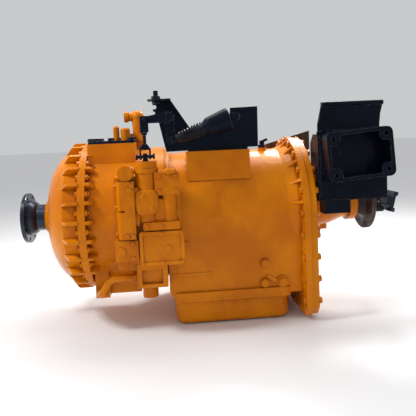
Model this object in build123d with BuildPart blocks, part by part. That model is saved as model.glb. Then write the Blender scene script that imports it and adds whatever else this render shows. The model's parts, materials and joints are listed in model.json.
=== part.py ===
"""Remote-mounted powershift planetary gearbox with a torque converter in front.

Origin: centre of the input flange's front face. +X runs along the shaft to the
output end, +Z is up, and the control valve and the shift linkage are on the -Y side.
"""
import os
from math import atan2, cos, hypot, pi, radians, sin

from build123d import *

os.makedirs("parts", exist_ok=True)

# ---------------------------------------------------------------- driving dimensions (mm)
RUN = 0.05                     # radial clearance of a running fit

# input flange
flange_r = 90.0                # 180 mm companion flange
flange_pcd = 155.5
flange_hole_r = 7.05
neck_r = 47.0
shaft_r = 25.0

# torque converter housing
lug_count = 26
lug_step = 360.0 / lug_count
band_x0, joint_x, band_x1 = 226.0, 238.0, 250.0
band_r = 257.0
bolt_circle_r = 247.0
barrel_r = 236.0
barrel_bore = 224.0
barrel_x1 = 505.0
boss_x0, boss_x1, boss_top = 252.0, 411.0, 257.0
lid_thick = 9.0

# gear case
case_x0, case_x1 = 505.0, 957.0
case_r = 211.5
case_bore = 192.0
pan_top = -272.0
pan_x0, pan_x1 = 524.0, 912.0   # tray of the oil pan
pan_half = 196.0
pan_bottom = -366.0
cover_x0, cover_x1, cover_x2 = 957.0, 978.0, 1000.0
cover_r = 252.0
foot_z = -350.0

# planetary sets, one module for both
module = 5.0
sun1_z, planet1_z, ring_z = 30, 15, 60
sun2_z, planet2_z = 24, 18
set1_x, set2_x = 600.0, 762.0
face_width = 40.0
planet_pin_r = 14.0
turbine_shaft_r = 20.0
output_shaft_r = 35.0

# control valve and shift linkage
valve_face = -290.0
link_y = -256.0
spool_x = 450.0
spool_eye_z = 212.0
tower_top = 198.0
pivot = (530.0, 334.0)         # bellcrank pivot, X and Z
arm_pin = (451.0, 326.0)       # pin between bellcrank and link
rod_pin = (533.0, 258.0)       # pin between bellcrank and actuator rod
actuator_pin = (748.0, 329.0)  # rear pivot of the actuator
actuator_y = -205.0
plate_y0, plate_y1 = -154.0, -146.0

# output end
output_face = 1263.0
disc_r = 108.0
disc_pcd = 176.0
joint_centre = 1318.0
yoke_droop = 14.0              # how far the loose yoke hangs down, degrees
box_centre = (1133.0, 189.0)   # mounting box, X and Z
box_tilt = 4.4                 # the box is welded on with this slope, degrees


# ---------------------------------------------------------------- shape helpers
def along(x, y=0.0, z=0.0):
    """A plane square to the shaft, with its sketch axes along +Y and +Z."""
    return Plane((x, y, z), x_dir=(0, 1, 0), z_dir=(1, 0, 0))


def ring(x0, x1, outer, inner=0.0, mode=Mode.ADD, y=0.0, z=0.0):
    """A disc or sleeve along the shaft direction."""
    with BuildSketch(along(x0, y, z)) as section:
        Circle(outer)
        if inner > 0:
            Circle(inner, mode=Mode.SUBTRACT)
    extrude(section.sketch, amount=x1 - x0, mode=mode)


def turned(*outline, mode=Mode.ADD):
    """A body of revolution about the shaft from (x, radius) points."""
    with BuildSketch(Plane.XZ) as half:
        with BuildLine():
            Polyline(*outline, close=True)
        make_face()
    revolve(half.sketch, axis=Axis.X, mode=mode)


def block(x, y, z, mode=Mode.ADD):
    """A box between two values on each axis."""
    with Locations(((x[0] + x[1]) / 2, (y[0] + y[1]) / 2, (z[0] + z[1]) / 2)):
        Box(x[1] - x[0], y[1] - y[0], z[1] - z[0], mode=mode)


def rod(start, end, radius, mode=Mode.ADD):
    """A round bar between two points."""
    way = Vector(*end) - Vector(*start)
    with BuildSketch(Plane(start, z_dir=way)) as section:
        Circle(radius)
    extrude(section.sketch, amount=way.length, mode=mode)


def plate(outline, y0, y1, mode=Mode.ADD):
    """An upright plate from (x, z) points, between two values of Y."""
    with BuildSketch(Plane.XZ.offset(-y1)) as profile:
        with BuildLine():
            Polyline(*outline, close=True)
        make_face()
    extrude(profile.sketch, amount=y1 - y0, mode=mode)


def drill(spots, aim, radius, depth, out=1.0):
    """Round holes from each spot against the aim, open by a little on the aim's side."""
    for spot in spots:
        start = Vector(*spot) + Vector(*aim) * out
        end = Vector(*spot) - Vector(*aim) * depth
        rod(tuple(start), tuple(end), radius, mode=Mode.SUBTRACT)


def hex_bolts(spots, aim, size, grip=0.0, washer=False):
    """Hexagon bolts or nuts: seated at the spots towards the aim, shanks the other way."""
    for spot in spots:
        seat = Plane(spot, z_dir=aim)
        lift = 0.0
        if washer:
            lift = 0.18 * size
            with BuildSketch(seat) as disc:
                Circle(1.08 * size)
            extrude(disc.sketch, amount=lift)
        with BuildSketch(seat.offset(lift)) as head:
            RegularPolygon(0.92 * size, 6)
        extrude(head.sketch, amount=0.65 * size)
        if grip > 0:
            with BuildSketch(seat) as shank:
                Circle(size / 2)
            extrude(shank.sketch, amount=-grip)


def around(x, radius, count, first=0.0, y=0.0, z=0.0):
    """Spots evenly round the shaft direction, the first one given from +Y towards +Z."""
    angles = [radians(first + 360.0 * i / count) for i in range(count)]
    return [(x, y + radius * cos(a), z + radius * sin(a)) for a in angles]


def gear_outline(teeth, tip, root, half_tip, half_pitch, half_root, turn=0.0):
    """Corner points of a spur gear: four per tooth flank pair and two on its pitch line."""
    pitch = module * teeth / 2
    marks = [(pitch + root, -half_root), (pitch, -half_pitch), (pitch + tip, -half_tip)]
    marks += [(pitch + tip, half_tip), (pitch, half_pitch), (pitch + root, half_root)]
    points = []
    for tooth in range(teeth):
        middle = radians(turn) + 2 * pi * tooth / teeth
        for radius, half in marks:
            angle = middle + half / radius
            points.append((radius * cos(angle), radius * sin(angle)))
    return points


def spur_gear(teeth, x0, x1, y=0.0, z=0.0, turn=0.0, mode=Mode.ADD):
    """An external gear, turned from a tooth on +Y towards +Z by some degrees."""
    sizes = (module, -1.25 * module, 0.30 * module, 0.65 * module, 0.95 * module)
    with BuildSketch(along(x0, y, z)) as section:
        with BuildLine():
            Polyline(*gear_outline(teeth, *sizes, turn), close=True)
        make_face()
    extrude(section.sketch, amount=x1 - x0, mode=mode)


def ring_gear(teeth, x0, x1, outer, turn):
    """An internal gear: its tooth spaces are cut by a slightly larger external gear."""
    sizes = (1.25 * module, -module, 0.55 * module, 0.87 * module, 1.23 * module)
    with BuildSketch(along(x0)) as section:
        Circle(outer)
        with BuildLine():
            Polyline(*gear_outline(teeth, *sizes, turn + 180.0 / teeth), close=True)
        make_face(mode=Mode.SUBTRACT)
    extrude(section.sketch, amount=x1 - x0)


def planet_places(sun_z, planet_z, count=3):
    """Centre and tooth turn of each planet so that it meshes with a sun at zero turn."""
    centre = module * (sun_z + planet_z) / 2
    places = []
    for i in range(count):
        angle = 90.0 + 360.0 * i / count
        lead = 0.5 - angle * sun_z / 360.0
        turn = angle + 180.0 - 360.0 / planet_z * lead
        y, z = centre * cos(radians(angle)), centre * sin(radians(angle))
        places.append((y, z, turn))
    return places


def ring_turn(sun_z, planet_z):
    """Turn of the ring gear that puts its teeth in the planets' spaces."""
    return (planet_z / 2 + (sun_z + ring_z) / 4) * 360.0 / ring_z % (360.0 / ring_z)


def write(part, name):
    """Label a finished piece and write its STEP file."""
    part.part.label = name
    export_step(part.part, f"parts/{name}.step")


# ================================================================ input end
hub_x1 = 112.0
with BuildPart() as input_flange:
    with BuildSketch(Plane.XZ) as half:
        with BuildLine():
            Polyline((0, shaft_r + RUN), (0, flange_r), (14, flange_r), (14, 63))
            RadiusArc((14, 63), (44, neck_r), 34)
            Polyline((44, neck_r), (hub_x1, neck_r), (hub_x1, shaft_r + RUN), (0, shaft_r + RUN))
        make_face()
    revolve(axis=Axis.X)
    ring(0, 3, 52, mode=Mode.SUBTRACT)
    ring(3, 12, 38, mode=Mode.SUBTRACT)
    drill(around(0, flange_pcd / 2, 8, 22.5), (-1, 0, 0), flange_hole_r, 15)
    chamfer(input_flange.edges().filter_by(GeomType.CIRCLE).sort_by(SortBy.RADIUS)[-2:], 1.5)
write(input_flange, "input_flange")

drive_x = 150.0
with BuildPart() as input_shaft:
    ring(14, drive_x - 12, shaft_r)
    ring(hub_x1 + 3, drive_x - 12, 40)
    ring(drive_x - 12, drive_x, 95)
    ring(5, 14, shaft_r - 7)
    with BuildSketch(along(12)) as nut:
        RegularPolygon(33, 6)
    extrude(nut.sketch, amount=-9)
write(input_shaft, "input_shaft")

with BuildPart() as input_retainer:
    turned((76, 54), (76, 58), (103, 86), (103, 100), (112, 100), (112, 62), (100, 62),
           (100, neck_r + 1), (88, neck_r + 1), (88, 54))
    drill(around(103, 93, 6), (-1, 0, 0), 4, 10)
write(input_retainer, "input_retainer")

with BuildPart() as input_seal:
    turned((88, neck_r + RUN), (88, 54), (78, 54), (78, 51), (84, 51), (84, neck_r + RUN))
write(input_seal, "input_seal")

with BuildPart() as input_bearing:
    ring(113, 135, 62, 56)
    ring(113, 135, 48, 40 + RUN)
    for spot in around(124, 52, 14):
        with Locations(spot):
            Sphere(5.2)
write(input_bearing, "input_bearing")

# ================================================================ torque converter housing
fin_first = 4.2                # from the top towards the near side, degrees
bolt_first = 4.2               # from the far side towards the top, half a step off the fins


def fins(points, angles, thickness):
    """Cast fins round the shaft direction, from one (x, radius) outline."""
    with BuildSketch(Plane.XZ.offset(-thickness / 2)) as fin:
        with BuildLine():
            Polyline(*points, close=True)
        make_face()
    body = extrude(fin.sketch, amount=thickness, mode=Mode.PRIVATE)
    for angle in angles:
        add(body.rotate(Axis.X, angle))


lug_angles = [fin_first + lug_step * i for i in range(lug_count)]


with BuildPart() as converter_cover:
    with BuildSketch(Plane.XZ) as half:
        with BuildLine():
            Polyline((103, 62), (103, 88))
            ThreePointArc((103, 88), (124, 182), (176, barrel_r))
            Polyline((176, barrel_r), (band_x0, barrel_r), (band_x0, band_r), (joint_x, band_r),
                     (joint_x, barrel_bore), (178, barrel_bore))
            ThreePointArc((178, barrel_bore), (136, 176), (117, 100))
            Polyline((117, 100), (136, 100), (136, 62), (103, 62))
        make_face()
    revolve(axis=Axis.X)
    fins([(166, 226), (188, 259), (194, 262), (band_x0 + 2, 262), (band_x0 + 2, 226)],
         lug_angles, 11)
    ring(102, 112, 100.1, mode=Mode.SUBTRACT)
    drill(around(112, 93, 6), (-1, 0, 0), 4, 14)
    drill(around(band_x0, bolt_circle_r, lug_count, bolt_first), (-1, 0, 0), 6.3, 13)
write(converter_cover, "converter_cover")

with BuildPart() as converter_housing:
    ring(joint_x, band_x1, band_r)
    ring(band_x1, barrel_x1, barrel_r)
    fins([(band_x1 - 2, 226), (band_x1 - 2, 262), (265, 262), (271, 257), (282, 226)], lug_angles, 11)
    block((boss_x0, boss_x1), (-140, 140), (120, boss_top))
    block((345, 500), (-244, -150), (-150, 150))
    block((258, 407), (-120, 120), (-262, -150))
    block((256, 302), (-165, -100), (-262, -160))
    block((boss_x0 - 2, boss_x1 + 9), (-141, 141), (boss_top, 270), mode=Mode.SUBTRACT)
    ring(joint_x, 488, barrel_bore, mode=Mode.SUBTRACT)
    ring(480, barrel_x1 + 1, 60, mode=Mode.SUBTRACT)
    block((276, 388), (-112, 112), (100, boss_top + 1), mode=Mode.SUBTRACT)
    drill(around(joint_x, bolt_circle_r, lug_count, bolt_first), (-1, 0, 0), 6.3, 13)
    boss_bolts = [(x, y, boss_top) for y in (-126, -42, 42, 126) for x in (264, 399)]
    boss_bolts += [(331.5, y, boss_top) for y in (-126, 126)]
    drill(boss_bolts, (0, 0, 1), 6, 22)
write(converter_housing, "converter_housing")

with BuildPart() as converter_bolts:
    seats = around(band_x0, bolt_circle_r, lug_count, bolt_first)
    hex_bolts(seats, (-1, 0, 0), 12, band_x1 - band_x0)
    open_seats = [(band_x1, y, z) for _, y, z in seats if abs(y) > (152 if z > 0 else 182)]
    hex_bolts(open_seats, (1, 0, 0), 12)
    for x, y, z in open_seats:
        rod((x, y, z), (x + 14, y, z), 6)
write(converter_bolts, "converter_bolts")

plugs = [(340, 11, 46), (372, 17, 38)]     # X, radius and height of the lid's plugs
with BuildPart() as pto_cover:
    with BuildSketch(Plane.XY.offset(boss_top)) as lid:
        with Locations(((boss_x0 + boss_x1) / 2, 0)):
            RectangleRounded(boss_x1 - boss_x0 - 3, 277, 14)
    extrude(amount=lid_thick)
    lid_top = boss_top + lid_thick
    drill([(x, y, lid_top) for x, y, _ in boss_bolts], (0, 0, 1), 6.3, 10)
    for x, radius, _ in plugs:
        drill([(x, -30, lid_top)], (0, 0, 1), radius - 4, 10)
write(pto_cover, "pto_cover")

with BuildPart() as pto_cover_bolts:
    hex_bolts([(x, y, lid_top) for x, y, _ in boss_bolts], (0, 0, 1), 12, 30, washer=True)
write(pto_cover_bolts, "pto_cover_bolts")

elbow_x, port_z = 417.0, 350.0
with BuildPart() as top_fittings:
    # filler elbow: a foot on the housing, a rounded body and an open port towards the input
    block((elbow_x - 28, elbow_x + 26), (-24, 24), (boss_top - 28, boss_top + 32))
    rod((elbow_x, 0, boss_top + 30), (elbow_x, 0, port_z), 21)
    with Locations((elbow_x, 0, port_z)):
        Sphere(23)
    rod((elbow_x, 0, port_z), (elbow_x - 34, 0, port_z), 16)
    rod((elbow_x - 34, 0, port_z), (elbow_x - 48, 0, port_z), 20)
    rod((elbow_x + 10, -18, boss_top + 12), (elbow_x + 10, -30, boss_top + 12), 9)
    block((boss_x0, boss_x1 + 1), (-140, 140), (150, lid_top + 0.01), mode=Mode.SUBTRACT)
    ring(390, 450, barrel_r, mode=Mode.SUBTRACT)
    rod((elbow_x - 49, 0, port_z), (elbow_x, 0, port_z), 11, mode=Mode.SUBTRACT)
    rod((elbow_x, 0, port_z), (elbow_x, 0, boss_top + 10), 9, mode=Mode.SUBTRACT)
    # breather plug and level plug, each with a spigot in the lid
    for x, radius, height in plugs:
        rod((x, -30, lid_top), (x, -30, lid_top + height), radius)
        rod((x, -30, boss_top + 1), (x, -30, lid_top), radius - 4.2)
        with Locations((x, -30, lid_top + height)):
            Cone(radius, radius - 5, 6, align=(Align.CENTER, Align.CENTER, Align.MIN))
write(top_fittings, "top_fittings")

# ================================================================ inside the converter
sleeve_bore = turbine_shaft_r + 4
with BuildPart() as stator:
    ring(212, 238, 92, 86)
    ring(212, 238, 52, sleeve_bore + 6)
    for angle in range(0, 360, 24):
        with BuildSketch(Plane.XY.offset(50)) as vane:
            with Locations((225, 0)):
                Rectangle(22, 4, rotation=25)
        wing = extrude(vane.sketch, amount=38, mode=Mode.PRIVATE)
        add(wing.rotate(Axis.X, angle))
    ring(212, 488, sleeve_bore + 8, sleeve_bore)
    ring(478, 488, 100, sleeve_bore)
write(stator, "stator")

shell_r = 205.0
with BuildPart() as converter_pump_shell:
    turned((drive_x, 60), (drive_x, 172), (168, shell_r), (joint_x + 2, shell_r),
           (joint_x + 2, shell_r - 6), (170, shell_r - 6), (drive_x + 6, 169), (drive_x + 6, 60))
    turned((joint_x + 2, shell_r), (268, 196), (300, 150), (304, 100), (300, 60), (340, 60), (340, 50),
           (294, 50), (298, 100), (294, 148), (264, 189), (joint_x + 2, shell_r - 8))
    for angle in range(0, 360, 15):
        with BuildSketch(Plane.XZ.offset(-1.5)) as vane:
            with BuildLine():
                Polyline((247, 102), (247, 186), (264, 190.5), (295, 149), (299, 102), close=True)
            make_face()
        wing = extrude(vane.sketch, amount=3, mode=Mode.PRIVATE)
        add(wing.rotate(Axis.X, angle))
write(converter_pump_shell, "converter_pump_shell")

with BuildPart() as turbine:
    turned((232, 192), (206, 186), (176, 148), (172, 100), (176, 60), (170, 40), (170, turbine_shaft_r),
           (206, turbine_shaft_r), (206, 40), (184, 62), (178, 100), (182, 146), (210, 180), (232, 186))
    for angle in range(0, 360, 18):
        with BuildSketch(Plane.XZ.offset(-1.5)) as vane:
            with BuildLine():
                Polyline((240, 102), (240, 184), (209, 181), (181, 146), (177, 102), close=True)
            make_face()
        wing = extrude(vane.sketch, amount=3, mode=Mode.PRIVATE)
        add(wing.rotate(Axis.X, angle))
write(turbine, "turbine")

# ================================================================ gear case
sump_y = 205.0


def case_section(x, floor=pan_top):
    """Cross-section of the case: a round top on straight sides that reach the pan."""
    with BuildSketch(along(x)) as section:
        with BuildLine():
            ThreePointArc((-case_r, 0), (0, case_r), (case_r, 0))
            Polyline((case_r, 0), (sump_y, floor), (-sump_y, floor), (-case_r, 0))
        make_face()
    return section.sketch


def cover_outline(x, shrink=0.0):
    """Outline of the rear flange: an arc on top, upright sides and a narrower foot."""
    side = cover_r - shrink
    foot = foot_z + shrink
    with BuildSketch(along(x)) as outline:
        with BuildLine():
            ThreePointArc((-side, 0), (0, side), (side, 0))
            Polyline((side, 0), (side, foot + 32), (side - 26, foot), (26 - side, foot),
                     (-side, foot + 32), (-side, 0))
        make_face()
    return outline.sketch


def cover_spots(x, bolt_r=238.0):
    """Bolt places round the rear flange: spaced on the arc and down each side."""
    arc_spots = [(x, bolt_r * cos(radians(a)), bolt_r * sin(radians(a))) for a in range(0, 181, 18)]
    side_spots = [(x, side, z) for side in (-bolt_r, bolt_r) for z in (-74, -148, -222, -296)]
    foot_spots = [(x, y, foot_z + 14) for y in (-190, -95, 0, 95, 190)]
    return arc_spots + side_spots + foot_spots


pan_x = (pan_x0 + pan_x1) / 2
rail_long = pan_x1 - pan_x0 + 12
rail_wide = 430.0
sender_x, sender_y, sender_z = 866.0, -30.0, 217.0

with BuildPart() as main_case:
    extrude(case_section(case_x0), amount=case_x1 - case_x0)
    fillet(main_case.edges().filter_by(Axis.Y).group_by(Axis.Z)[0].sort_by(Axis.X)[0], 36)
    ring(case_x0, case_x0 + 16, 228)
    turned((915, 0), (915, case_r), (945, 224), (case_x1, 224), (case_x1, 0))
    extrude(cover_outline(cover_x0), amount=cover_x1 - cover_x0)
    # bosses on the near side, and ribs round the neck
    block((514, 648), (-209, -190), (-196, -184))
    for x, z, radius in ((827, -165, 15), (824, -232, 15), (886, -232, 20), (570, -84, 9)):
        rod((x, -190, z), (x, -214, z), radius)
    plate([(829, -214), (880, -246), (892, -236), (836, -205)], -211, -190)
    fins([(922, 200), (922, 211), (958, 246), (958, 200)], [9 + 18 * i for i in range(-5, 5)], 10)
    # pad for the linkage bracket on the top flank, and the temperature sender's boss
    block((582, 795), (-178, -84), (120, 219))
    rod((sender_x, sender_y, 190), (sender_x, sender_y, sender_z), 16)
    # hollow: gear bore, sump and the window down to the pan
    ring(case_x0 + 18, cover_x1, case_bore, mode=Mode.SUBTRACT)
    ring(case_x0 - 1, case_x0 + 20, 100, mode=Mode.SUBTRACT)
    block((540, 905), (-188, 188), (pan_top - 1, 0), mode=Mode.SUBTRACT)
    # pan rail
    with BuildSketch(Plane.XY.offset(pan_top)) as rail:
        with Locations((pan_x, 0)):
            RectangleRounded(rail_long, rail_wide, 24)
            RectangleRounded(352, 376, 12, mode=Mode.SUBTRACT)
    extrude(amount=22)
    drill(cover_spots(cover_x1), (1, 0, 0), 6, 24)
    pan_spots = [(x, y, pan_top) for x in range(546, 896, 43) for y in (-206, 206)]
    drill(pan_spots, (0, 0, -1), 5, 18)
    drill([(827, -214, -165), (824, -214, -232), (886, -214, -232)], (0, -1, 0), 8, 12)
    drill([(x, -110, 219) for x in (605, 778)], (0, 0, 1), 6, 26)
    drill([(sender_x, sender_y, sender_z)], (0, 0, 1), 8, 20)
write(main_case, "main_case")

with BuildPart() as case_plugs:
    # threaded plugs on the flank, and the drain plug under the pan
    for x, z, size in ((827, -165, 16), (824, -232, 16), (886, -232, 16)):
        hex_bolts([(x, -214, z)], (0, -1, 0), size, 12)
    hex_bolts([(pan_x, 0, pan_bottom + 14)], (0, 0, -1), 14, 12)
write(case_plugs, "case_plugs")

lip_thick = 9.0
with BuildPart() as oil_pan:
    with BuildSketch(Plane.XY.offset(pan_top - lip_thick)) as lip:
        with Locations((pan_x, 0)):
            RectangleRounded(rail_long, rail_wide, 24)
    extrude(amount=lip_thick)
    with BuildSketch(Plane.XY.offset(pan_bottom)) as tray:
        with Locations((pan_x, 0)):
            RectangleRounded(pan_x1 - pan_x0, 2 * pan_half, 40)
    extrude(amount=pan_top - pan_bottom - 5, taper=-2)
    fillet(oil_pan.faces().sort_by(Axis.Z)[0].edges(), 22)
    with BuildSketch(Plane.XY.offset(pan_bottom + 8)) as hollow:
        with Locations((pan_x, 0)):
            RectangleRounded(350, 2 * pan_half - 20, 26)
    extrude(amount=pan_top - pan_bottom, mode=Mode.SUBTRACT)
    rod((pan_x, 0, pan_bottom), (pan_x, 0, pan_bottom + 26), 26)
    rod((pan_x, 0, pan_bottom - 1), (pan_x, 0, pan_bottom + 14), 18, mode=Mode.SUBTRACT)
    rod((pan_x, 0, pan_bottom), (pan_x, 0, pan_bottom + 27), 7, mode=Mode.SUBTRACT)
    drill(pan_spots, (0, 0, -1), 5.3, 12, out=12)
write(oil_pan, "oil_pan")

with BuildPart() as pan_bolts:
    hex_bolts([(x, y, pan_top - lip_thick) for x, y, _ in pan_spots], (0, 0, -1), 8, 25)
write(pan_bolts, "pan_bolts")

with BuildPart() as oil_strainer:
    rod((600, 0, -312), (820, 0, -312), 24)
    rod((604, 0, -312), (830, 0, -312), 20, mode=Mode.SUBTRACT)
    rod((640, 0, -292), (640, 0, -200), 14)
    rod((640, 0, -312), (640, 0, -199), 10, mode=Mode.SUBTRACT)
write(oil_strainer, "oil_strainer")

# ================================================================ planetary sets
def planet_pins(x0, x1, places):
    """Pins that carry the planets."""
    for y, z, _ in places:
        rod((x0, y, z), (x1, y, z), planet_pin_r)


places1 = planet_places(sun1_z, planet1_z)
places2 = planet_places(sun2_z, planet2_z)

with BuildPart() as turbine_shaft:
    ring(165, 700, turbine_shaft_r)
    ring(160, 165, turbine_shaft_r - 3)
    spur_gear(sun1_z, set1_x, set1_x + face_width)
write(turbine_shaft, "turbine_shaft")

for place, (y, z, turn) in zip("abc", places1):
    with BuildPart() as planet:
        spur_gear(planet1_z, set1_x, set1_x + face_width, y, z, turn)
        ring(set1_x - 1, set1_x + face_width + 1, planet_pin_r + RUN, mode=Mode.SUBTRACT, y=y, z=z)
    write(planet, f"planet_gear_1{place}")

with BuildPart() as planet_carrier_1:
    ring(set1_x - 12, set1_x - 3, 138, 32)
    ring(set1_x + face_width + 3, set1_x + face_width + 16, 138, turbine_shaft_r + RUN)
    planet_pins(set1_x - 12, set1_x + face_width + 16, places1)
    ring(set1_x + face_width + 16, set2_x, 44, turbine_shaft_r + RUN)
    spur_gear(sun2_z, set2_x, set2_x + face_width)
    ring(set2_x - 2, set2_x + face_width + 8, 16)
    ring(set2_x + face_width, set2_x + face_width + 8, 24)
write(planet_carrier_1, "planet_carrier_1")

for place, (y, z, turn) in zip("abc", places2):
    with BuildPart() as planet:
        spur_gear(planet2_z, set2_x, set2_x + face_width, y, z, turn)
        ring(set2_x - 1, set2_x + face_width + 1, planet_pin_r + RUN, mode=Mode.SUBTRACT, y=y, z=z)
    write(planet, f"planet_gear_2{place}")

output_shaft_x1 = 1245.0
with BuildPart() as output_shaft:
    carrier_x = set2_x + face_width + 12
    ring(set2_x - 13, set2_x - 4, 142, 56)
    ring(carrier_x, carrier_x + 15, 142)
    planet_pins(set2_x - 13, carrier_x + 15, places2)
    ring(carrier_x + 15, carrier_x + 60, 60)
    ring(carrier_x + 60, output_shaft_x1, output_shaft_r)
write(output_shaft, "output_shaft")

with BuildPart() as ring_gears:
    ring_gear(ring_z, set1_x - 6, set1_x + face_width + 6, 176, ring_turn(sun1_z, planet1_z))
    ring_gear(ring_z, set2_x - 6, set2_x + face_width + 6, 176, ring_turn(sun2_z, planet2_z))
write(ring_gears, "ring_gears")

with BuildPart() as clutch_packs:
    for start in (set1_x - 6, set2_x - 6):
        for plate_number in range(7):
            x = start + 7.0 * plate_number
            ring(x, x + 3.5, 190.5, 176.2)
        ring(start + 54, start + 74, 190.5, 150)
write(clutch_packs, "clutch_packs")

# ================================================================ rear cover and output end

with BuildPart() as rear_cover:
    extrude(cover_outline(cover_x1, 3), amount=cover_x2 - cover_x1)
    turned((cover_x2, 0), (cover_x2, 150), (1012, 130), (1030, 118), (1030, 0))
    ring(940, cover_x1, case_bore - 0.5, 150)
    block((cover_x2, 1029), (-160, -100), (-84, -52))
    block((cover_x2, 1014), (-205, -165), (-88, -40))
    ring(cover_x1 - 40, 1031, 62, mode=Mode.SUBTRACT)
    block((cover_x2, 1012), (-204, -150), (36, 120))
    drill(cover_spots(cover_x2), (1, 0, 0), 6, 24)
    drill([(1014, -185, -64)], (1, 0, 0), 7, 14)
write(rear_cover, "rear_cover")

with BuildPart() as rear_cover_bolts:
    hex_bolts(cover_spots(cover_x2), (1, 0, 0), 12, cover_x2 - cover_x0, washer=True)
    hex_bolts(cover_spots(cover_x0), (-1, 0, 0), 12)
    hex_bolts([(1014, -185, -64)], (1, 0, 0), 14, 12, washer=True)
write(rear_cover_bolts, "rear_cover_bolts")

with BuildPart() as output_housing:
    turned((1030, 0), (1030, 118), (1044, 118), (1044, 94), (1110, 82), (1165, 62), (1183, 62),
           (1183, 72), (1209, 72), (1209, 0))
    block((1034, 1110), (-5, 5), (-104, -70))
    ring(1030, 1040, 62, mode=Mode.SUBTRACT)
    ring(1040, 1209, 56, mode=Mode.SUBTRACT)
    drill(around(1044, 106, 8, 22.5), (1, 0, 0), 4, 12)
write(output_housing, "output_housing")

with BuildPart() as end_bolts:
    hex_bolts(around(103, 93, 6), (-1, 0, 0), 8, 22)
    hex_bolts(around(1044, 106, 8, 22.5), (1, 0, 0), 8, 12)
write(end_bolts, "end_bolts")

with BuildPart() as output_bearing:
    ring(1154, 1180, 56, 51)
    ring(1154, 1180, 41, output_shaft_r + RUN)
    for spot in around(1167, 46, 15):
        with Locations(spot):
            Sphere(4.9)
write(output_bearing, "output_bearing")

with BuildPart() as output_seal:
    turned((1188, 56), (1188, 48), (1190, 48), (1190, output_shaft_r + RUN), (1200, output_shaft_r + RUN),
           (1200, 40), (1194, 40), (1194, 54), (1200, 54), (1200, 56))
write(output_seal, "output_seal")

with BuildPart() as output_flange:
    turned((1213, output_shaft_r), (1213, 52), (1245, 58), (1249, 70), (1249, disc_r),
           (output_face, disc_r), (output_face, 0), (output_shaft_x1, 0), (output_shaft_x1, output_shaft_r))
    drill(around(output_face, disc_pcd / 2, 8, 22.5), (1, 0, 0), 6, 15)
write(output_flange, "output_flange")

# universal joint: the flange yoke's ears stand up and down, the loose yoke's ears point to the sides
trunnion_r = 11.0
ear_inner, ear_outer = 32.0, 47.0
with BuildPart() as flange_yoke:
    ring(output_face, output_face + 12, 62)
    for side in (-1, 1):
        low, high = sorted((side * ear_inner, side * ear_outer))
        block((output_face + 8, joint_centre), (-19, 19), (low, high))
        rod((joint_centre, 0, low), (joint_centre, 0, high), 19)
    rod((joint_centre, 0, -60), (joint_centre, 0, 60), trunnion_r + RUN, mode=Mode.SUBTRACT)
write(flange_yoke, "flange_yoke")

with BuildPart() as joint_cross:
    rod((joint_centre, 0, -ear_outer), (joint_centre, 0, ear_outer), trunnion_r)
    rod((joint_centre, -ear_outer, 0), (joint_centre, ear_outer, 0), trunnion_r)
    with Locations((joint_centre, 0, 0)):
        Sphere(20)
write(joint_cross, "joint_cross")

with BuildPart() as loose_yoke:
    for side in (-1, 1):
        low, high = sorted((side * ear_inner, side * ear_outer))
        block((joint_centre, joint_centre + 42), (low, high), (-18, 18))
        rod((joint_centre, low, 0), (joint_centre, high, 0), 18)
    block((joint_centre + 34, joint_centre + 44), (-ear_outer, ear_outer), (-35, 35))
    # fork for the next shaft
    for low, high in ((24, 39), (-39, -24)):
        block((joint_centre + 40, joint_centre + 62), (-24, 24), (low, high))
    rod((joint_centre, -60, 0), (joint_centre, 60, 0), trunnion_r + RUN, mode=Mode.SUBTRACT)
    rod((joint_centre + 53, 0, -45), (joint_centre + 53, 0, 45), 6, mode=Mode.SUBTRACT)
loose_yoke.part = loose_yoke.part.rotate(Axis((joint_centre, 0, 0), (0, 1, 0)), yoke_droop)
write(loose_yoke, "loose_yoke")

# ================================================================ control valve on the near side
pad_face = -244.0
manifold_face = -262.0
with BuildPart() as valve_housing:
    block((352, 552), (manifold_face, pad_face), (-128, 150))
    block((475, 553), (valve_face, pad_face), (91, 163))
    block((343, 416), (valve_face, pad_face), (-112, -46))
    rod((spool_x, link_y, 9), (spool_x, link_y, tower_top), 35)
    rod((spool_x, link_y, tower_top - 36), (spool_x, link_y, tower_top - 22), 38)
    rod((386, -214, 163), (386, valve_face, 163), 24)
    rod((362, -280, -80), (362, valve_face - 6, -80), 14)
    block((414, 486), (-280, pad_face - 6), (10, 100))
    rod((480, -270, 50), (480, -286, 50), 11)
    block((340, 560), (pad_face, -150), (-130, 150), mode=Mode.SUBTRACT)
    rod((spool_x, link_y, 24), (spool_x, link_y, tower_top + 1), 9 + RUN, mode=Mode.SUBTRACT)
    fillet(valve_housing.edges().filter_by(Axis.Y).group_by(Axis.X)[-1], 9)
write(valve_housing, "valve_housing")

regulator_spots = [(404, -32), (404, 126), (384, -32)]
cover_corners = [(x, z) for x in (428, 489.5, 551) for z in (-119, -28)]
bar_spots = [(446, -4), (489, -4)]

with BuildPart() as regulator_block:
    block((354, 412), (-297, manifold_face), (-42, 138))
    chamfer(regulator_block.edges().filter_by(Axis.Z).group_by(Axis.Y)[0].sort_by(Axis.X)[0], 20, 12)
    block((350, 380), (-300, -284), (44, 50), mode=Mode.SUBTRACT)
    rod((396, -297, 112), (396, -303, 112), 9)
    drill([(x, -297, z) for x, z in regulator_spots], (0, -1, 0), 4.5, 30)
write(regulator_block, "regulator_block")

with BuildPart() as range_valve_cover:
    block((420, 559), (-296, manifold_face), (-127, -20))
    fillet(range_valve_cover.edges().filter_by(Axis.Y), 7)
    with BuildSketch(Plane.XZ.offset(296)) as rim:
        with Locations((489.5, -73.5)):
            RectangleRounded(139, 107, 7)
            RectangleRounded(117, 85, 5, mode=Mode.SUBTRACT)
    extrude(amount=5)
    rod((508, -296, -76), (508, -300, -76), 11)
    drill([(x, -301, z) for x, z in cover_corners], (0, -1, 0), 4, 39)
write(range_valve_cover, "range_valve_cover")

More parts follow.
